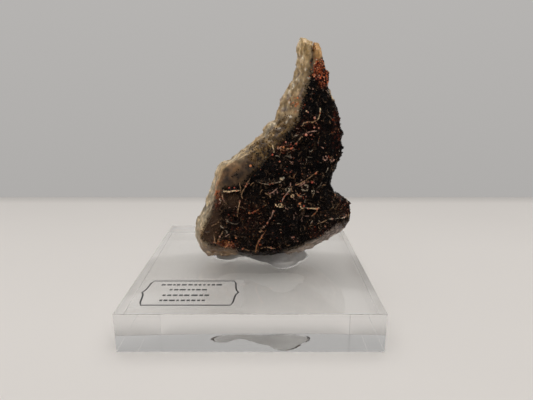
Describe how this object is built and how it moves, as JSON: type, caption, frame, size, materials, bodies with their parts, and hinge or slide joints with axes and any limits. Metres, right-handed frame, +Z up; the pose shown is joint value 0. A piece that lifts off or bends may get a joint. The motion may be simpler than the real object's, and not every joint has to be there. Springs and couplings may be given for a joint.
{
  "type": "descloizite pseudomorph mineral specimen on an acrylic block",
  "caption": "Upright horn-shaped quartz slab with a dark crystal crust on its front, glued to a square clear block with a small label.",
  "frame": {"origin": "centre of the acrylic block's underside", "axes": "+Z up, +X to the right and -Y towards a viewer of the crusted face and the label"},
  "size_m": [0.0762, 0.0762, 0.088],
  "materials": {
    "acrylic": "clear cast acrylic, polished on every face",
    "label_film": "clear matt tape with a thin dark printed border",
    "glue": "clear set gel, smooth and glossy",
    "quartz_matrix": "pale grey, tan and brown quartz, waxy, broken on its sides",
    "descloizite": "near black druse of small glittering crystals, with tan, orange and red plate edges"
  },
  "bodies": {
    "root": {"acrylic_block": "acrylic", "label": "label_film", "glue": "glue", "matrix": "quartz_matrix", "descloizite_crust": "descloizite"}
  },
  "joints": []
}
